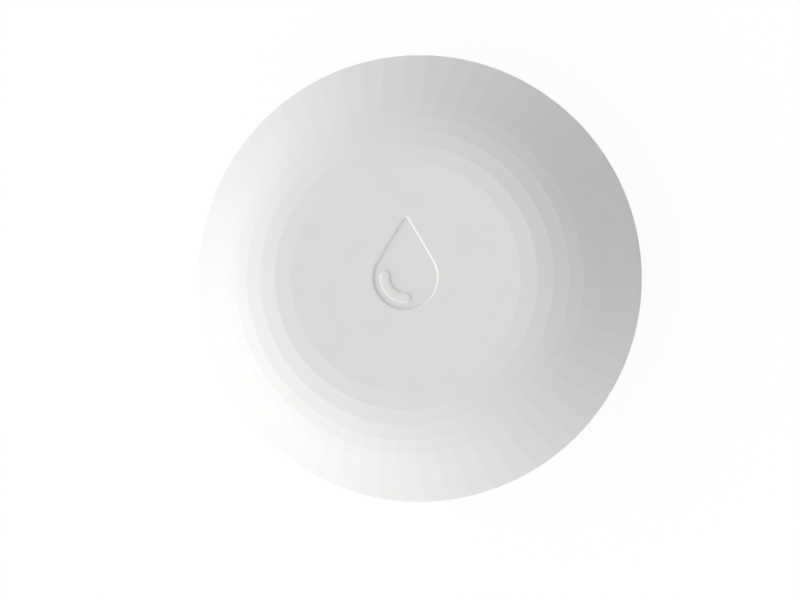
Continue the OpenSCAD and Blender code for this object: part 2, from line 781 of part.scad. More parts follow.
module switch_terminals() {
    leg_t = 0.2;
    leg_w = 0.7;
    leg_y = 2.25;
    root_h = 0.8;
    out = switch_side / 2;
    root_x = out + leg_t / 2 + touch;
    foot_z = board_top + leg_t / 2;
    root_z = board_top + root_h;
    color(steel) for (side = [0, 180]) rotate(side) for (y = [-leg_y, leg_y]) translate([0, y, 0])
        bent_strip([[root_x, root_z], [root_x, foot_z], [out + leg_reach, foot_z]], leg_t, leg_w);
}

module probe_screw() {
    slot_w = 0.8;
    slot_depth = 0.45;
    edge = 0.25;
    head_r = probe_head_d / 2;
    color(steel) difference() {
        rotate_extrude() polygon([[0, 0], [head_r - edge, 0], [head_r, edge], [head_r, underside_z],
            [probe_shank_r, underside_z], [probe_shank_r, probe_top - edge],
            [probe_shank_r - edge, probe_top], [0, probe_top]]);
        translate([-slot_w / 2, -head_r - over, -over])
            cube([slot_w, 2 * head_r + 2 * over, slot_depth + over]);
    }
}

module probe_left() {
    translate([-probe_r, 0, 0]) probe_screw();
}

module probe_right() {
    translate([probe_r, 0, 0]) probe_screw();
}

module probe_seals() {
    color(rubber_black) at_probes() translate([0, 0, underside_z + probe_ring_d / 2])
        cord_ring(probe_shank_r + 2 * touch + probe_ring_d / 2, probe_ring_d - 2 * touch);
}

module probe_bushes() {
    bush_t = 1;
    color(brass) at_probes() translate([0, 0, boss_top])
        ring(probe_bore_r + bush_t, probe_bore_r, board_z - boss_top);
}

top_cover();
drop_button();
button_seal();
seal_retainer();
threaded_inserts();
housing_seal();
base_shell();
battery_cover();
cover_seal();
cell_can();
cell_cap();
cell_gasket();
positive_contact();
negative_contact();
circuit_board();
radio_chip();
crystal();
antenna_trace();
status_led();
chip_capacitors();
chip_resistors();
switch_body();
switch_plate();
switch_dome();
switch_stem();
switch_terminals();
probe_left();
probe_right();
probe_seals();
probe_bushes();
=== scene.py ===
"""Looks of a round water leak sensor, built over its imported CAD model."""

import math

import bmesh
import bpy
from bpy.props import FloatProperty, FloatVectorProperty, IntProperty, PointerProperty
from mathutils import Matrix, Vector


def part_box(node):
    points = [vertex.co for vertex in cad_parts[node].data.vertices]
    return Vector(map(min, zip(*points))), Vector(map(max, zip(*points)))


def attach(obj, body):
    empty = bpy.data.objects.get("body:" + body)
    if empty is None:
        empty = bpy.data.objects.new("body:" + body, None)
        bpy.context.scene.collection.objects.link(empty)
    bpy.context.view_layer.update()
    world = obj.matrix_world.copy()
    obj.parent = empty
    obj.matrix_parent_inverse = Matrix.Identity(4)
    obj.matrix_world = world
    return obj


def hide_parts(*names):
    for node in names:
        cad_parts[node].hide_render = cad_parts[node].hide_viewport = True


bl_info = {
    "name": "Water leak sensor",
    "version": (1, 0, 0),
    "blender": (4, 5, 0),
    "location": "View3D > Sidebar > Leak sensor",
    "description": "Builds the cover, button, underside and finishes of a round water leak sensor",
    "category": "Mesh",
}

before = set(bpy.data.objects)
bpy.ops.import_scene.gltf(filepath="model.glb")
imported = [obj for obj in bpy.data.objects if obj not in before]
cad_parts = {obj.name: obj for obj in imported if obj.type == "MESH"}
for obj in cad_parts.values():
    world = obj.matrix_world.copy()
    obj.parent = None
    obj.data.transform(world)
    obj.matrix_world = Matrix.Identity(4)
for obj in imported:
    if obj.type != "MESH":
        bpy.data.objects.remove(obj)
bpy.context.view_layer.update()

MM = 0.001
FULL_TURN = 2 * math.pi
HALF_TURN = math.pi
QUARTER_TURN = math.pi / 2
WHITE = (1, 1, 1, 1)

# Distance within which vertices are merged
WELD = 0.0005 * MM

# Steps round a spun piece and across a rounded edge
ROUND_STEPS = 96
EDGE_STEPS = 3

# Widths of the photograph in pixels and of the camera's sensor in millimetres
PHOTO_W = 800
SENSOR_W = 36

COVER_LOW, COVER_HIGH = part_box("top_cover")
BUTTON_LOW, BUTTON_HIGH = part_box("drop_button")
DOOR_LOW, DOOR_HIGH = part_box("battery_cover")


def length(name, description, millimetres):
    """A size that the user may change, given in millimetres and kept in metres."""
    return FloatProperty(
        name=name,
        description=description,
        default=millimetres * MM,
        precision=5,
        subtype="DISTANCE",
        unit="LENGTH",
    )


def number(name, description, value):
    """A plain number that the user may change."""
    return FloatProperty(name=name, description=description, default=value, precision=4)


def angle(name, description, degrees):
    """An angle that the user may change, given in degrees and kept in radians."""
    return FloatProperty(
        name=name,
        description=description,
        default=math.radians(degrees),
        subtype="ANGLE",
        unit="ROTATION",
    )


def colour(name, description, rgb):
    """A colour that the user may change, as linear red, green and blue."""
    return FloatVectorProperty(
        name=name, description=description, default=rgb, size=3, min=0, max=1, subtype="COLOR"
    )


class CoverSizes(bpy.types.PropertyGroup):
    """Sizes of the domed cover."""

    flat_r: length("Flat top radius", "Radius of the flat top", 12.6)
    shoulder_r: length("Shoulder radius", "Radius of the arc that the shoulder bands follow", 10.2)
    bands: IntProperty(name="Bands", description="Number of flat bands on the shoulder", default=5)
    facets: IntProperty(name="Facets", description="Number of facets round the flank", default=60)
    rim_z: length("Rim height", "Height of the widest line above the floor", 5.8)
    rim_round: length("Rim rounding", "Radius that breaks the widest line", 1.2)
    wall: length("Wall", "Wall thickness", 1.8)
    skirt_edge: length("Skirt edge", "Rounding of the skirt's lower edge", 0.25)
    opening_edge: length("Opening edge", "Rounding of the sloped edge round the button", 0.08)


class ButtonSizes(bpy.types.PropertyGroup):
    """Sizes of the drop-shaped button."""

    drop_r: length("Round end", "Radius of the round end", 3.407)
    taper: angle("Taper", "Angle between the axis of the drop and its straight sides", 31.1)
    tip_r: length("Tip", "Rounding of the drop's tip", 0.25)
    depth: length("Depth", "Depth of the face under the flat top", 0.21)
    slope: length("Sloped edge", "Width of the cover's sloped edge round the button", 0.2)
    gap: length("Gap", "Gap between button and cover", 0.005)
    edge: length("Edge", "Rounding of the button's upper edge", 0.03)
    flange_r: length("Flange radius", "Radius of the retaining flange", 5)
    flange_t: length("Flange thickness", "Thickness of the retaining flange", 0.5)
    flange_gap: length("Flange gap", "Gap between the flange and the cover's ceiling", 0.05)
    post_r: length("Post radius", "Radius of the post that presses the switch", 1.5)
    crescent_r: length("Crescent radius", "Radius of the crescent's middle line", 2.245)
    crescent_w: length("Crescent width", "Width of the crescent halfway up its sides", 1.05)
    crescent_slope: length("Crescent slope", "Width of the crescent's sloped sides", 0.14)
    crescent_edge: length("Crescent edge", "Rounding of the crescent's upper edge", 0.04)
    crescent_from: angle("Crescent start", "Angle where the crescent starts", 176)
    crescent_to: angle("Crescent end", "Angle where the crescent ends", 272)


class UndersideSizes(bpy.types.PropertyGroup):
    """Sizes of the details on the underside."""

    edge: length("Moulded edge", "Rounding of the edges that show", 0.12)
    mark_h: length("Mark height", "How far the lock marks stand out", 0.25)


class FinishColours(bpy.types.PropertyGroup):
    """Colours of the finishes."""

    shell: colour("Shell", "White moulded plastic", (0.80, 0.80, 0.785))
    # Painted light: the drop's white is a little lighter than the shell's, to cancel the shade that falls
    # in its recess
    button: colour("Button", "White moulded plastic of the drop", (0.807, 0.807, 0.792))
    silicone: colour("Silicone", "Milky silicone", (0.72, 0.73, 0.72))
    rubber: colour("Rubber", "Black rubber", (0.018, 0.018, 0.019))
    steel: colour("Steel", "Stainless steel", (0.52, 0.51, 0.49))
    brass: colour("Brass", "Turned brass", (0.72, 0.53, 0.24))
    mask: colour("Solder mask", "Green solder mask", (0.012, 0.11, 0.045))
    copper: colour("Copper", "Printed copper", (0.72, 0.36, 0.2))
    epoxy: colour("Epoxy", "Black chip epoxy", (0.014, 0.014, 0.016))
    ceramic: colour("Ceramic", "Tan chip ceramic", (0.42, 0.29, 0.17))
    lens: colour("Lens", "Indicator lens", (0.86, 0.86, 0.78))


class StageSettings(bpy.types.PropertyGroup):
    """Camera, light and floor."""

    distance: length("Distance", "Distance from the camera to the body's middle", 300)
    focal: number("Lens", "Focal length in millimetres", 121.55)
    lean_x: number("Lean right", "Camera's lean to the right, as a slope", 0.136)
    lean_y: number("Lean up", "Camera's lean to the drop's point, as a slope", -0.0126)
    roll: angle("Roll", "Turn of the camera about its own axis", 0.45)
    right_px: number("Right", "How far the body's middle lies right of the picture's, in pixels", 14.6)
    up_px: number("Up", "How far the body's middle lies above the picture's, in pixels", 21.95)
    tent: number("Tent", "Mean strength of the light tent", 1.508)
    side: number("Side", "How much brighter the tent is on its bright side", 0.82)
    fill: number("Fill", "How much both ends of that side's axis gain", 0.28)
    zenith: number("Zenith", "How much darker the tent is overhead", 1.08)
    side_at: angle("Bright side", "Angle of the tent's bright side from the right, towards the point", 205)
    floor_r: length("Floor radius", "Radius of the floor", 3000)
    ground: number("Ground", "Strength of the tent's lower half", 0.62)
    ground_side: number("Ground side", "How much brighter that half is below the bright side", 0.9)
    floor_tone: number("Floor", "How pale the floor is", 0.94)
    shadow: number("Shadow", "Share of the floor's own shading that shows", 0.12)


def clear_selection():
    """Deselects every object, because operators act on all that is selected."""
    bpy.ops.object.select_all(action="DESELECT")


def activate(piece):
    """Makes a piece the only selected object."""
    clear_selection()
    piece.select_set(True)
    bpy.context.view_layer.objects.active = piece


def edit(piece):
    """Opens a piece in edit mode."""
    activate(piece)
    bpy.ops.object.mode_set(mode="EDIT")


def close_edit():
    """Goes back to object mode."""
    bpy.ops.object.mode_set(mode="OBJECT")


def pick(piece, kind, test):
    """Selects the vertices, edges or faces of an open piece that pass a test, and no others."""
    mesh = bmesh.from_edit_mesh(piece.data)
    bpy.context.tool_settings.mesh_select_mode = [kind == k for k in ("verts", "edges", "faces")]
    for element in (*mesh.verts, *mesh.edges, *mesh.faces):
        element.select_set(False)
    for element in getattr(mesh, kind):
        if test(element):
            element.select_set(True)
    mesh.select_flush_mode()
    bmesh.update_edit_mesh(piece.data)


def picked_vertex(piece):
    """Place of the one selected vertex of an open piece."""
    mesh = bmesh.from_edit_mesh(piece.data)
    return next(v.co.copy() for v in mesh.verts if v.select)


def middle(edge):
    """Middle of an edge."""
    return (edge.verts[0].co + edge.verts[1].co) / 2


def is_near(value, target):
    """Whether a size lies at a target."""
    room = 0.01 * MM
    return abs(value - target) < room


def from_axis(point):
    """Distance of a point from the body's upright axis."""
    return math.hypot(point.x, point.y)


def arc(centre, radius, start, end, steps):
    """Points of an arc in the half plane of a profile, by angles counted from the upright."""
    turns = [start + (end - start) * i / steps for i in range(steps + 1)]
    return [(centre[0] + radius * math.sin(t), centre[1] + radius * math.cos(t)) for t in turns]


def drawn_line(name, points):
    """A line of points, drawn by extruding one vertex from each point to the next."""
    clear_selection()
    bpy.ops.mesh.primitive_plane_add(size=MM)
    piece = bpy.context.object
    piece.name = name
    bpy.ops.object.mode_set(mode="EDIT")
    bpy.ops.mesh.select_mode(type="VERT")
    bpy.ops.mesh.select_all(action="SELECT")
    bpy.ops.mesh.merge(type="CENTER")
    bpy.ops.transform.translate(value=points[0])
    for here, there in zip(points, points[1:]):
        step = Vector(there) - Vector(here)
        bpy.ops.mesh.extrude_vertices_move(TRANSFORM_OT_translate={"value": step})
    return piece


def spun(name, profile, steps):
    """A closed round piece: a profile of radii and heights, spun about the upright axis."""
    piece = drawn_line(name, [Vector((r, 0, z)) for r, z in profile])
    bpy.ops.mesh.select_all(action="SELECT")
    bpy.ops.mesh.spin(steps=steps, angle=FULL_TURN, center=(0, 0, 0), axis=(0, 0, 1))
    seal_mesh()
    close_edit()
    return piece


def seal_mesh():
    """Merges the doubles of an open piece and turns its faces outwards."""
    bpy.ops.mesh.select_all(action="SELECT")
    bpy.ops.mesh.remove_doubles(threshold=WELD)
    bpy.ops.mesh.select_all(action="SELECT")
    bpy.ops.mesh.normals_make_consistent(inside=False)


def flatten_discs(piece, *heights):
    """Makes one face of each flat disc at the given heights."""
    edit(piece)
    for z in heights:
        pick(piece, "faces", lambda f: all(is_near(v.co.z, z) for v in f.verts))
        bpy.ops.mesh.dissolve_faces()
    close_edit()


def combine(piece, tool, operation):
    """Joins a tool to a piece or cuts it out, and removes the tool."""
    activate(piece)
    change = piece.modifiers.new("combine", "BOOLEAN")
    change.object = tool
    change.operation = operation
    change.solver = "EXACT"
    bpy.ops.object.modifier_apply(modifier=change.name)
    bpy.data.objects.remove(tool)


def smooth(piece, limit):
    """Shades a piece smooth where its faces meet at less than a limit, and keeps its large faces flat."""
    activate(piece)
    bpy.ops.object.shade_smooth_by_angle(angle=limit)
    weights = piece.modifiers.new("large_faces_flat", "WEIGHTED_NORMAL")
    weights.keep_sharp = True
    bpy.ops.object.modifier_apply(modifier=weights.name)


def settle(piece, body, slot, finish, *nodes):
    """Hands a finished piece to its body, with its finish, in place of its nodes."""
    piece.data.materials.clear()
    piece.data.materials.append(finish)
    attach(piece, body)
    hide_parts(*nodes)


def drop_sheet(name, button, grown, z):
    """A flat drop: a filled circle whose upper vertices are drawn together into a rounded tip."""
    vertices = 144
    tip_steps = 8
    round_r = button.drop_r + grown
    tip_r = button.tip_r + grown
    side_y = round_r * math.sin(button.taper)
    point = Vector((0, round_r / math.sin(button.taper), 0))
    clear_selection()
    bpy.ops.mesh.primitive_circle_add(vertices=vertices, radius=round_r, fill_type="NGON")
    piece = bpy.context.object
    piece.name = name
    edit(piece)
    pick(piece, "verts", lambda v: v.co.y > side_y)
    bpy.ops.mesh.merge(type="CENTER")
    bpy.ops.transform.translate(value=point - picked_vertex(piece))
    bpy.ops.mesh.bevel(offset=tip_r / math.tan(button.taper), segments=tip_steps, affect="VERTICES")
    bpy.ops.mesh.select_all(action="SELECT")
    bpy.ops.transform.translate(value=(0, 0, z))
    return piece


def raise_sheet(height):
    """Extrudes the selected sheet up or down."""
    bpy.ops.mesh.extrude_region_move(TRANSFORM_OT_translate={"value": (0, 0, height)})


def drop_opening_tool(button, ceiling_z, top_z, room):
    """The solid that cuts the button's opening and room round it: a slope, then straight walls."""
    below = MM
    over = 2
    face_z = top_z - button.depth
    grown = button.gap + room + over * button.slope
    tool = drop_sheet("drop_opening", button, grown, face_z + over * button.depth)
    bpy.ops.mesh.inset(thickness=over * button.slope, depth=-over * button.depth)
    raise_sheet(ceiling_z - below - face_z)
    pick(tool, "edges", lambda e: e.is_boundary)
    bpy.ops.mesh.edge_face_add()
    seal_mesh()
    close_edit()
    return tool


def flank_slope(cover, body_r, top_z):
    """Centre of the shoulder's arc, and the angle from the upright where the straight flank leaves it."""
    centre = (cover.flat_r, top_z - cover.shoulder_r)
    rim = Vector((body_r - centre[0], cover.rim_z - centre[1]))
    return centre, math.atan2(rim.x, rim.y) - math.acos(cover.shoulder_r / rim.length)


def dome_inside(cover, body_r, top_z, low_z, inset):
    """Radii and heights of a dome set in from the outside, from its lower edge to the axis."""
    steps = 24
    centre, slope = flank_slope(cover, body_r, top_z)
    edge_r = body_r - inset / math.sin(slope)
    points = [(edge_r, low_z), (edge_r, cover.rim_z)]
    points += arc(centre, cover.shoulder_r - inset, slope, 0, steps)
    return points + [(0, top_z - inset)]


def cover_profile(cover, body_r, top_z, skirt_z, inset):
    """Radii and heights round the cover's outer skin, from the middle of the top back to the axis."""
    round_steps = 18
    edge_steps = 4
    centre, slope = flank_slope(cover, body_r, top_z)
    round_z = cover.rim_z - cover.rim_round * math.tan((QUARTER_TURN - slope) / 2)
    edge = cover.skirt_edge
    outside = [(0, top_z)]
    outside += arc(centre, cover.shoulder_r, 0, slope, cover.bands)
    outside += arc((body_r - cover.rim_round, round_z), cover.rim_round, slope, QUARTER_TURN, round_steps)
    outside += arc((body_r - edge, skirt_z + edge), edge, QUARTER_TURN, HALF_TURN, edge_steps)
    return outside + dome_inside(cover, body_r, top_z, skirt_z, inset)


def facet(piece, cover, body_r):
    """Draws the outside above the rim in to flat facets, one of them under the drop's point."""
    step = FULL_TURN / cover.facets
    fade_low = cover.rim_z - cover.rim_round
    fade = cover.rim_round
    edit(piece)
    mesh = bmesh.from_edit_mesh(piece.data)
    for vertex in mesh.verts:
        outer = vertex.normal.z > 0 or is_near(from_axis(vertex.co), body_r)
        if not outer or from_axis(vertex.co) < cover.flat_r / 2:
            continue
        off_middle = (math.atan2(vertex.co.y, vertex.co.x) + step / 2) % step - step / 2
        chord = math.cos(step / 2) / math.cos(off_middle)
        share = min(1, max(0, (vertex.co.z - fade_low) / fade))
        pull = 1 + share * (chord - 1)
        vertex.co.x *= pull
        vertex.co.y *= pull
    bmesh.update_edit_mesh(piece.data)
    close_edit()


def cover_inside(cover, button, body_r, top_z):
    """The inner half of the cover's wall with its pillars and pins, cut out of the CAD piece."""
    below = MM
    core_depth = 0.4 * cover.wall
    room = 0.3 * MM
    ceiling_z = top_z - cover.wall
    piece = merged_copy("top_cover", "cover_inside")
    close_edit()
    low_z = COVER_LOW.z - below
    outline = [(0, low_z)] + dome_inside(cover, body_r, top_z, low_z, core_depth)
    core = spun("cover_core", outline, ROUND_STEPS)
    combine(piece, core, "INTERSECT")
    combine(piece, drop_opening_tool(button, ceiling_z, top_z, room), "DIFFERENCE")
    return piece


class SENSOR_OT_cover(bpy.types.Operator):
    """Builds the domed cover with its bands, facets and drop-shaped opening"""

    bl_idname = "leak_sensor.cover"
    bl_label = "Cover"

    def execute(self, context):
        cover = context.scene.leak_cover
        button = context.scene.leak_button
        steps_per_facet = 4
        opening_steps = 2
        skin_depth = 0.6 * cover.wall
        crisp = math.radians(3)
        inner_r = cover.flat_r - MM
        top_z = COVER_HIGH.z
        body_r = COVER_HIGH.x
        profile = cover_profile(cover, body_r, top_z, COVER_LOW.z, skin_depth)
        piece = spun("cover_shell", profile, cover.facets * steps_per_facet)
        flatten_discs(piece, top_z, top_z - skin_depth)
        facet(piece, cover, body_r)
        combine(piece, drop_opening_tool(button, top_z - skin_depth, top_z, 0), "DIFFERENCE")
        edit(piece)
        pick(piece, "edges", lambda e: is_near(middle(e).z, top_z) and from_axis(middle(e)) < inner_r
             and len(e.link_faces) == 2 and e.calc_face_angle() > crisp)
        bpy.ops.mesh.bevel(offset=cover.opening_edge, segments=opening_steps, affect="EDGES")
        close_edit()
        combine(piece, cover_inside(cover, button, body_r, top_z), "UNION")
        smooth(piece, crisp)
        finish = moulded_white("moulded_shell", context.scene.leak_colours.shell)
        settle(piece, "housing", "white_plastic", finish, "top_cover")
        return {"FINISHED"}


def crescent_part(name, centre, start, turn, offsets, heights, steps):
    """A strip of the crescent: its section, spun about an upright axis."""
    def place(offset, height):
        return Vector((centre.x + offset * math.cos(start), centre.y + offset * math.sin(start), height))

    piece = drawn_line(name, [place(o, h) for o, h in zip(offsets, heights)])
    bpy.ops.mesh.select_all(action="SELECT")
    bpy.ops.mesh.spin(steps=steps, angle=-turn, center=centre, axis=(0, 0, 1))
    close_edit()
    return piece


def crescent_solid(button, face_z, top_z):
    """The raised crescent, with round ends and a foot that reaches into the face."""
    foot = (button.crescent_w + button.crescent_slope) / 2
    head = (button.crescent_w - button.crescent_slope) / 2
    sunk = 2 * button.crescent_edge
    heights = [face_z - sunk, face_z, top_z, top_z]
    half = [foot, foot, head, 0]
    crisp = math.radians(20)
    band_steps = 48
    end_steps = 24
    origin = Vector((0, 0, 0))
    reach = button.crescent_r
    turn = button.crescent_to - button.crescent_from
    section = [reach - o for o in half] + [reach + o for o in half[-2::-1]]
    parts = [crescent_part("crescent", origin, button.crescent_from, turn, section,
                           heights + heights[-2::-1], band_steps)]
    for at, back in ((button.crescent_from, HALF_TURN), (button.crescent_to, 0)):
        centre = Vector((reach * math.cos(at), reach * math.sin(at), 0))
        parts.append(crescent_part("crescent_end", centre, at + back, HALF_TURN, half, heights, end_steps))
    clear_selection()
    for part in parts:
        part.select_set(True)
    bpy.context.view_layer.objects.active = parts[0]
    bpy.ops.object.join()
    piece = bpy.context.object
    edit(piece)
    seal_mesh()
    pick(piece, "edges", lambda e: e.is_boundary)
    bpy.ops.mesh.fill_holes(sides=0)
    seal_mesh()
    pick(piece, "edges", lambda e: is_near(middle(e).z, top_z) and e.calc_face_angle(0) > crisp)
    bpy.ops.mesh.bevel(offset=button.crescent_edge, segments=EDGE_STEPS, affect="EDGES")
    close_edit()
    return piece


class SENSOR_OT_button(bpy.types.Operator):
    """Builds the drop-shaped button with its raised crescent, flange and post"""

    bl_idname = "leak_sensor.button"
    bl_label = "Drop button"

    def execute(self, context):
        button = context.scene.leak_button
        cover = context.scene.leak_cover
        soft = math.radians(32)
        face_z = COVER_HIGH.z - button.depth
        flange_top = COVER_HIGH.z - cover.wall - button.flange_gap
        flange_z = flange_top - button.flange_t
        post_z = BUTTON_LOW.z
        piece = drop_sheet("drop_cap", button, 0, flange_top - button.flange_t / 2)
        raise_sheet(face_z - flange_top + button.flange_t / 2)
        seal_mesh()
        pick(piece, "edges", lambda e: is_near(middle(e).z, face_z))
        bpy.ops.mesh.bevel(offset=button.edge, segments=EDGE_STEPS, affect="EDGES")
        close_edit()
        stand = spun("button_stand", [(0, post_z), (button.post_r, post_z), (button.post_r, flange_z),
                                      (button.flange_r, flange_z), (button.flange_r, flange_top),
                                      (0, flange_top)], ROUND_STEPS)
        combine(piece, stand, "UNION")
        combine(piece, crescent_solid(button, face_z, BUTTON_HIGH.z), "UNION")
        smooth(piece, soft)
        # The drop's finish takes that lighter white, painted light against the shade of its recess
        finish = moulded_white("moulded_drop", context.scene.leak_colours.button)
        settle(piece, "button", "white_plastic", finish, "drop_button")
        return {"FINISHED"}


def merged_copy(node, name):
    """A copy of a CAD node with its loose triangles merged into whole faces, open in edit mode."""
    level = math.radians(0.1)
    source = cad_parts[node]
    piece = bpy.data.objects.new(name, source.data.copy())
    bpy.context.scene.collection.objects.link(piece)
    edit(piece)
    bpy.ops.mesh.customdata_custom_splitnormals_clear()
    bpy.ops.mesh.select_all(action="SELECT")
    bpy.ops.mesh.remove_doubles(threshold=WELD)
    bpy.ops.mesh.select_all(action="SELECT")
    bpy.ops.mesh.dissolve_limited(angle_limit=level)
    return piece


def is_outer_edge(edge):
    """Whether two faces meet at an edge and turn outwards by more than a moulded rounding does."""
    least = math.radians(40)
    return len(edge.link_faces) == 2 and edge.calc_face_angle_signed() > least


class SENSOR_OT_base(bpy.types.Operator):
    """Rounds the base's edges that show: its feet, its lock marks and the rim round the battery cover"""

    bl_idname = "leak_sensor.base"
    bl_label = "Base"

    def execute(self, context):
        sizes = context.scene.leak_underside
        soft = math.radians(30)
        floor_z = 0
        mark_z = DOOR_LOW.z
        underside_z = mark_z + sizes.mark_h
        rim_r = DOOR_HIGH.x
        near_rim = 0.5 * MM
        piece = merged_copy("base_shell", "base_dish")
        pick(piece, "edges", lambda e: is_outer_edge(e) and (
            is_near(middle(e).z, floor_z)
            or is_near(middle(e).z, mark_z)
            or is_near(middle(e).z, underside_z) and abs(from_axis(middle(e)) - rim_r) < near_rim))
        bpy.ops.mesh.bevel(offset=sizes.edge, segments=EDGE_STEPS, affect="EDGES")
        close_edit()
        smooth(piece, soft)
        finish = moulded_white("moulded_shell", context.scene.leak_colours.shell)
        settle(piece, "housing", "white_plastic", finish, "base_shell")
        return {"FINISHED"}


class SENSOR_OT_battery_cover(bpy.types.Operator):
    """Rounds the battery cover's rim, coin slot and pointer"""

    bl_idname = "leak_sensor.battery_cover"
    bl_label = "Battery cover"

    def execute(self, context):
        sizes = context.scene.leak_underside
        soft = math.radians(30)
        mark_z = DOOR_LOW.z
        underside_z = mark_z + sizes.mark_h
        piece = merged_copy("battery_cover", "battery_lid")
        pick(piece, "edges", lambda e: is_outer_edge(e) and (
            is_near(middle(e).z, mark_z) or is_near(middle(e).z, underside_z)))
        bpy.ops.mesh.bevel(offset=sizes.edge, segments=EDGE_STEPS, affect="EDGES")
        close_edit()
        smooth(piece, soft)
        finish = moulded_white("moulded_shell", context.scene.leak_colours.shell)
        settle(piece, "battery_door", "white_plastic", finish, "battery_cover")
        return {"FINISHED"}


class Link:
    """A socket of a node tree. Sums and products with it add Math nodes."""

    def __init__(self, tree, socket=None):
        self.tree = tree
        self.socket = socket

    def node(self, kind, settings=None, inputs=None, output=0):
        """Adds a node, makes its settings, then its inputs, and gives back one of its outputs."""
        made = self.tree.nodes.new(kind)
        for name, value in (settings or {}).items():
            setattr(made, name, value)
        for name, value in (inputs or {}).items():
            if isinstance(value, Link):
                self.tree.links.new(value.socket, made.inputs[name])
            else:
                made.inputs[name].default_value = value
        return Link(self.tree, made.outputs[output] if made.outputs else None)

    def math(self, operation, first, second=0):
        """Adds a Math node."""
        return self.node("ShaderNodeMath", {"operation": operation}, {0: first, 1: second})

    def __add__(self, other):
        return self.math("ADD", self, other)

    def __radd__(self, other):
        return self.math("ADD", other, self)

    def __sub__(self, other):
        return self.math("SUBTRACT", self, other)

    def __rsub__(self, other):
        return self.math("SUBTRACT", other, self)

    def __mul__(self, other):
        return self.math("MULTIPLY", self, other)

    def __rmul__(self, other):
        return self.math("MULTIPLY", other, self)

    def noise(self, size, detail):
        """Noise of a real size, from 0 to 1, on the object's own coordinates."""
        place = self.node("ShaderNodeTexCoord", output="Object")
        inputs = {"Vector": place, "Scale": 1 / size, "Detail": detail}
        return self.node("ShaderNodeTexNoise", inputs=inputs)

    def mixed(self, share, first, second):
        """A colour between two colours. The Mix node's colour sockets share names, so they go by number."""
        colour_a = 6
        colour_b = 7
        result = 2
        inputs = {"Factor": share, colour_a: first, colour_b: second}
        return self.node("ShaderNodeMix", {"data_type": "RGBA"}, inputs, result)

    def bumped(self, height, depth, strength):
        """A normal that a height of a real depth has roughened."""
        inputs = {"Strength": strength, "Distance": depth, "Height": height}
        return self.node("ShaderNodeBump", inputs=inputs)


def opaque(rgb, tone=1):
    """A colour with its alpha, made lighter or darker."""
    return (rgb[0] * tone, rgb[1] * tone, rgb[2] * tone, 1)


def surface(name, make):
    """A material of one shader, made once and shared by the pieces that use it."""
    finish = bpy.data.materials.get(name)
    if finish:
        return finish
    finish = bpy.data.materials.new(name)
    finish.use_nodes = True
    finish.node_tree.nodes.clear()
    start = Link(finish.node_tree)
    shader = start.node("ShaderNodeBsdfPrincipled", inputs=make(start))
    start.node("ShaderNodeOutputMaterial", inputs={"Surface": shader})
    return finish


def moulded_white(name, tone):
    """White plastic with the fine spark-eroded grain of its mould."""
    grain_size = 0.11 * MM
    grain_depth = 0.006 * MM
    grain_rough = 0.1
    cloud_size = 3.5 * MM
    cloud_tone = 0.015
    cloud_rough = 0.06
    rough = 0.5

    def make(start):
        grain = start.noise(grain_size, detail=3)
        cloud = start.noise(cloud_size, detail=3)
        return {
            "Base Color": start.mixed(cloud, opaque(tone, 1 - cloud_tone), opaque(tone, 1 + cloud_tone)),
            "Roughness": rough + grain_rough * grain + cloud_rough * cloud,
            "IOR": 1.46,
            "Normal": start.bumped(grain, grain_depth, strength=0.35),
        }

    return surface(name, make)


def soft_rubber(name, rgb, rough):
    """Moulded rubber or silicone with a dusty bloom."""
    grain_size = 0.06 * MM
    grain_depth = 0.004 * MM
    bloom_size = 1.2 * MM
    bloom_tone = 0.15
    bloom_rough = 0.12

    def make(start):
        grain = start.noise(grain_size, detail=3)
        bloom = start.noise(bloom_size, detail=4)
        return {
            "Base Color": start.mixed(bloom, opaque(rgb, 1 - bloom_tone), opaque(rgb, 1 + bloom_tone)),
            "Roughness": rough + bloom_rough * bloom,
            "IOR": 1.42,
            "Normal": start.bumped(grain, grain_depth, strength=0.3),
        }

    return surface(name, make)


def drawn_metal(name, rgb, rough):
    """Metal with fine drawn lines and slight tarnish."""
    stretch = 25
    line_w = 0.03 * MM
    line_depth = 0.003 * MM
    line_rough = 0.14
    tarnish_size = 1.6 * MM
    tarnish_rough = 0.08
    dull = 0.9
    bright = 1.06

    def make(start):
        place = start.node("ShaderNodeTexCoord", output="Object")
        lines = start.node("ShaderNodeMapping", inputs={"Vector": place, "Scale": (1, stretch, stretch)})
        brush = start.node("ShaderNodeTexNoise", inputs={
            "Vector": lines, "Scale": 1 / (line_w * stretch), "Detail": 3})
        tarnish = start.noise(tarnish_size, detail=4)
        return {
            "Base Color": start.mixed(tarnish, opaque(rgb, dull), opaque(rgb, bright)),
            "Metallic": 1,
            "Roughness": rough + line_rough * brush + tarnish_rough * tarnish,
            "Normal": start.bumped(brush, line_depth, strength=0.25),
        }

    return surface(name, make)


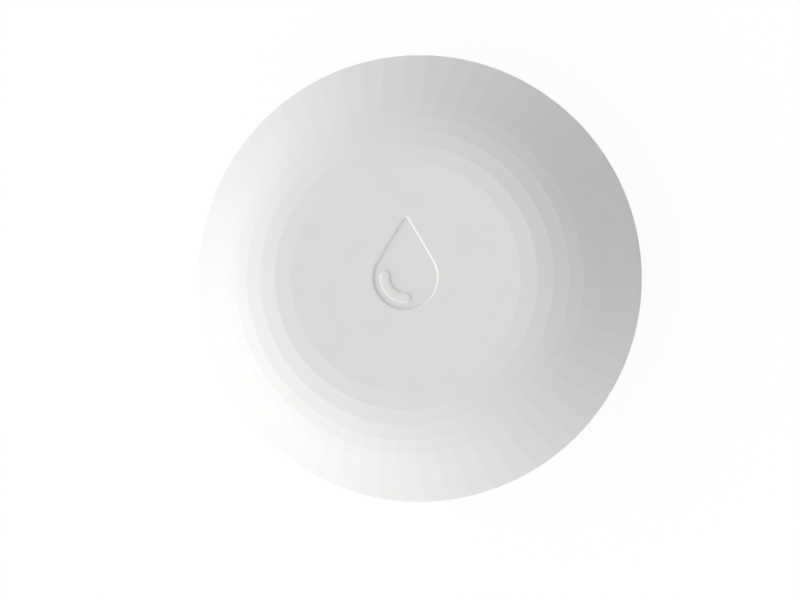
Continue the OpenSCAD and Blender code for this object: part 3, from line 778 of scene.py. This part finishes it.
def turned_steel(rgb):
    """Stainless steel turned on a lathe, with fine rings about each probe's own axis."""
    low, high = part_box("probe_right")
    probe_x = (low.x + high.x) / 2
    ring_pitch = 0.24 * MM
    ring_depth = 0.003 * MM
    ring_height = 0.4
    ring_tone = 0.3
    ring_rough = 0.05
    wear_size = 0.8 * MM
    wear_rough = 0.1
    fine_size = 0.03 * MM
    rough = 0.24
    dull = 0.85
    bright = 1.1

    def make(start):
        place = start.node("ShaderNodeTexCoord", output="Object")
        sideways = start.node("ShaderNodeSeparateXYZ", inputs={"Vector": place}, output="X")
        folded = start.math("ABSOLUTE", sideways) - probe_x
        across = start.node("ShaderNodeSeparateXYZ", inputs={"Vector": place}, output="Y")
        reach = start.math("SQRT", folded * folded + across * across)
        rings = start.math("SINE", reach * (FULL_TURN / ring_pitch))
        wear = start.noise(wear_size, detail=4)
        fine = start.noise(fine_size, detail=2)
        return {
            "Base Color": start.mixed(wear + ring_tone * rings, opaque(rgb, dull), opaque(rgb, bright)),
            "Metallic": 1,
            "Roughness": rough + ring_rough * rings + wear_rough * wear,
            "Normal": start.bumped(ring_height * rings + fine, ring_depth, strength=0.3),
        }

    return surface("turned_steel", make)


def masked_board(rgb):
    """Green solder mask over copper tracks that run along and across, with a slight orange peel."""
    track_w = 0.1
    track_depth = 0.02 * MM
    track_tone = 1.6
    track_coat = 0.2
    region_size = 5 * MM
    half_of_regions = 0.5
    peel_size = 0.25 * MM
    peel_height = 0.3
    peel_rough = 0.12
    rough = 0.28
    coat = 0.3

    def tracks(start, place, turn, run, pitch):
        """Lines between bricks of a run and a pitch in millimetres."""
        turned = start.node("ShaderNodeMapping", inputs={"Vector": place, "Rotation": (0, 0, turn)})
        return start.node("ShaderNodeTexBrick", inputs={
            "Vector": turned,
            "Scale": 1 / MM,
            "Mortar Size": track_w,
            "Brick Width": run,
            "Row Height": pitch,
        }, output="Fac")

    def make(start):
        place = start.node("ShaderNodeTexCoord", output="Object")
        along = tracks(start, place, turn=0, run=6.4, pitch=1.1)
        across = tracks(start, place, turn=QUARTER_TURN, run=4.8, pitch=1.4)
        region = start.math("GREATER_THAN", start.noise(region_size, detail=0), half_of_regions)
        copper = across + region * (along - across)
        peel = start.noise(peel_size, detail=2)
        return {
            "Base Color": start.mixed(copper, opaque(rgb), opaque(rgb, track_tone)),
            "Roughness": rough + peel_rough * peel,
            "Coat Weight": coat + track_coat * copper,
            "Normal": start.bumped(copper + peel_height * peel, track_depth, strength=0.3),
        }

    return surface("solder_mask", make)


def speckled(name, rgb, rough, speck):
    """Moulded epoxy, ceramic or lens resin with a speckle of filler."""
    speck_depth = 0.006 * MM
    speck_tone = 0.25
    speck_rough = 0.2

    def make(start):
        filler = start.noise(speck, detail=4)
        return {
            "Base Color": start.mixed(filler, opaque(rgb, 1 - speck_tone), opaque(rgb, 1 + speck_tone)),
            "Roughness": rough + speck_rough * filler,
            "Normal": start.bumped(filler, speck_depth, strength=0.3),
        }

    return surface(name, make)


class SENSOR_OT_finishes(bpy.types.Operator):
    """Gives the CAD pieces that stay their finishes"""

    bl_idname = "leak_sensor.finishes"
    bl_label = "Finishes of the other pieces"

    def execute(self, context):
        tones = context.scene.leak_colours
        rubber = soft_rubber("black_rubber", tones.rubber, rough=0.55)
        silicone = soft_rubber("milky_silicone", tones.silicone, rough=0.35)
        sheet = drawn_metal("bright_sheet", tones.steel, rough=0.22)
        spring = drawn_metal("spring_sheet", tones.steel, rough=0.32)
        brass = drawn_metal("turned_brass", tones.brass, rough=0.28)
        copper = drawn_metal("tinned_copper", tones.copper, rough=0.3)
        epoxy = speckled("chip_epoxy", tones.epoxy, rough=0.45, speck=0.05 * MM)
        ceramic = speckled("chip_ceramic", tones.ceramic, rough=0.4, speck=0.08 * MM)
        lens = speckled("lens_resin", tones.lens, rough=0.15, speck=0.2 * MM)
        worn_by = {
            moulded_white("moulded_shell", tones.shell): ["seal_retainer"],
            rubber: ["housing_seal", "cover_seal", "probe_seals"],
            silicone: ["button_seal", "cell_gasket"],
            sheet: ["cell_can", "cell_cap", "crystal", "switch_plate", "switch_terminals"],
            spring: ["positive_contact", "negative_contact", "switch_dome"],
            brass: ["threaded_inserts", "probe_bushes"],
            copper: ["antenna_trace"],
            epoxy: ["radio_chip", "chip_resistors", "switch_body", "switch_stem"],
            ceramic: ["chip_capacitors"],
            lens: ["status_led"],
            masked_board(tones.mask): ["circuit_board"],
            turned_steel(tones.steel): ["probe_left", "probe_right"],
        }
        for finish, nodes in worn_by.items():
            for node in nodes:
                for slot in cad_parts[node].material_slots:
                    slot.material = finish
        return {"FINISHED"}


def light_path_mask(start):
    """1 for rays from the camera and rays that metal or glass sends on, 0 for light on the object."""
    camera = start.node("ShaderNodeLightPath", output="Is Camera Ray")
    glossy = start.node("ShaderNodeLightPath", output="Is Glossy Ray")
    through = start.node("ShaderNodeLightPath", output="Is Transmission Ray")
    return start.math("MAXIMUM", camera, start.math("MAXIMUM", glossy, through))


def light_tent(stage):
    """The world: a soft tent that is brighter on one side and darker overhead, and white to look at."""
    world = bpy.data.worlds.new("light_tent")
    bpy.context.scene.world = world
    world.use_nodes = True
    world.node_tree.nodes.clear()
    start = Link(world.node_tree)
    way = start.node("ShaderNodeTexCoord", output="Generated")
    bright_side = (math.cos(stage.side_at), math.sin(stage.side_at), 0)
    lean = start.node(
        "ShaderNodeVectorMath", {"operation": "DOT_PRODUCT"}, {0: way, 1: bright_side}, "Value"
    )
    height = start.node("ShaderNodeSeparateXYZ", inputs={"Vector": way}, output="Z")
    above = start.math("GREATER_THAN", height, 0)
    sky = stage.tent + lean * (stage.side + stage.fill * lean) - stage.zenith * height
    ground = stage.ground - stage.ground_side * lean * height
    strength = ground + above * (sky - ground)
    lit = start.node("ShaderNodeBackground", inputs={"Color": WHITE, "Strength": strength})
    seen = start.node("ShaderNodeBackground", inputs={"Color": WHITE, "Strength": 1})
    both = start.node("ShaderNodeMixShader", inputs={0: light_path_mask(start), 1: lit, 2: seen})
    start.node("ShaderNodeOutputWorld", inputs={"Surface": both})


def pale_floor(stage):
    """The floor's finish: white to look at with a trace of shadow, and clear to the light from below."""
    finish = bpy.data.materials.new("pale_floor")
    finish.use_nodes = True
    finish.node_tree.nodes.clear()
    start = Link(finish.node_tree)
    # A little over white, so that noise leaves no grey specks
    over_white = 1.006
    # Means over the sky of a ray's height and of its lean squared, as a level floor weighs them
    mean_height = 2 / 3
    mean_square_lean = 1 / 4
    sky = stage.tent - stage.zenith * mean_height + stage.fill * mean_square_lean
    own_light = stage.floor_tone * sky
    strength = (over_white - stage.shadow * own_light) / (1 - stage.shadow)
    paper = start.node("ShaderNodeBsdfDiffuse", inputs={"Color": opaque((stage.floor_tone,) * 3)})
    bright = start.node("ShaderNodeEmission", inputs={"Color": WHITE, "Strength": strength})
    seen = start.node("ShaderNodeMixShader", inputs={0: 1 - stage.shadow, 1: paper, 2: bright})
    clear = start.node("ShaderNodeBsdfTransparent")
    front = 1 - start.node("ShaderNodeNewGeometry", output="Backfacing")
    mask = light_path_mask(start) * front
    both = start.node("ShaderNodeMixShader", inputs={0: mask, 1: clear, 2: seen})
    start.node("ShaderNodeOutputMaterial", inputs={"Surface": both})
    return finish


class SENSOR_OT_stage(bpy.types.Operator):
    """Sets up the floor, the light tent and the camera"""

    bl_idname = "leak_sensor.stage"
    bl_label = "Stage"

    def execute(self, context):
        stage = context.scene.leak_stage
        steps = 128
        clear_selection()
        bpy.ops.mesh.primitive_circle_add(vertices=steps, radius=stage.floor_r, fill_type="NGON")
        floor = context.object
        floor.name = "floor"
        floor.data.materials.append(pale_floor(stage))
        light_tent(stage)
        self.place_camera(context, stage)
        context.scene.view_settings.view_transform = "Standard"
        return {"FINISHED"}

    def place_camera(self, context, stage):
        """Puts the camera almost overhead, with the drop's point upwards in the picture."""
        near = 0.01
        lens = bpy.data.cameras.new("camera")
        camera = bpy.data.objects.new("camera", lens)
        context.scene.collection.objects.link(camera)
        back = Vector((stage.lean_x, stage.lean_y, 1)).normalized()
        right = Vector((0, 1, 0)).cross(back).normalized()
        up = back.cross(right)
        aim = Vector((0, 0, COVER_HIGH.z / 2))
        turned = Matrix((right, up, back)).transposed().to_4x4()
        rolled = turned @ Matrix.Rotation(stage.roll, 4, "Z")
        camera.matrix_world = Matrix.Translation(aim + back * stage.distance) @ rolled
        lens.lens = stage.focal
        lens.sensor_width = SENSOR_W
        lens.shift_x = -stage.right_px / PHOTO_W
        lens.shift_y = -stage.up_px / PHOTO_W
        lens.clip_start = near
        context.scene.camera = camera


class SENSOR_PT_panel(bpy.types.Panel):
    """Lists the sensor's pieces and the stage"""

    bl_idname = "SENSOR_PT_panel"
    bl_label = "Leak sensor"
    bl_space_type = "VIEW_3D"
    bl_region_type = "UI"
    bl_category = "Leak sensor"

    def draw(self, context):
        for operator in OPERATORS:
            self.layout.operator(operator.bl_idname, text=operator.bl_label)
        for group in GROUPS:
            settings = getattr(context.scene, group)
            box = self.layout.box()
            for name in settings.bl_rna.properties.keys():
                if name not in ("rna_type", "name"):
                    box.prop(settings, name)


GROUPS = {
    "leak_cover": CoverSizes,
    "leak_button": ButtonSizes,
    "leak_underside": UndersideSizes,
    "leak_colours": FinishColours,
    "leak_stage": StageSettings,
}
OPERATORS = (
    SENSOR_OT_cover,
    SENSOR_OT_button,
    SENSOR_OT_base,
    SENSOR_OT_battery_cover,
    SENSOR_OT_finishes,
    SENSOR_OT_stage,
)


def register():
    """Registers the classes and hangs the sizes on the scene."""
    for group in GROUPS.values():
        bpy.utils.register_class(group)
    for name, group in GROUPS.items():
        setattr(bpy.types.Scene, name, PointerProperty(type=group))
    for operator in OPERATORS:
        bpy.utils.register_class(operator)
    bpy.utils.register_class(SENSOR_PT_panel)


def unregister():
    """Takes away what register added."""
    bpy.utils.unregister_class(SENSOR_PT_panel)
    for operator in reversed(OPERATORS):
        bpy.utils.unregister_class(operator)
    for name in GROUPS:
        delattr(bpy.types.Scene, name)
    for group in reversed(GROUPS.values()):
        bpy.utils.unregister_class(group)


def main():
    """Builds every piece in order."""
    register()
    bpy.ops.leak_sensor.cover()
    bpy.ops.leak_sensor.button()
    bpy.ops.leak_sensor.base()
    bpy.ops.leak_sensor.battery_cover()
    bpy.ops.leak_sensor.finishes()
    bpy.ops.leak_sensor.stage()


if __name__ == "__main__":
    main()
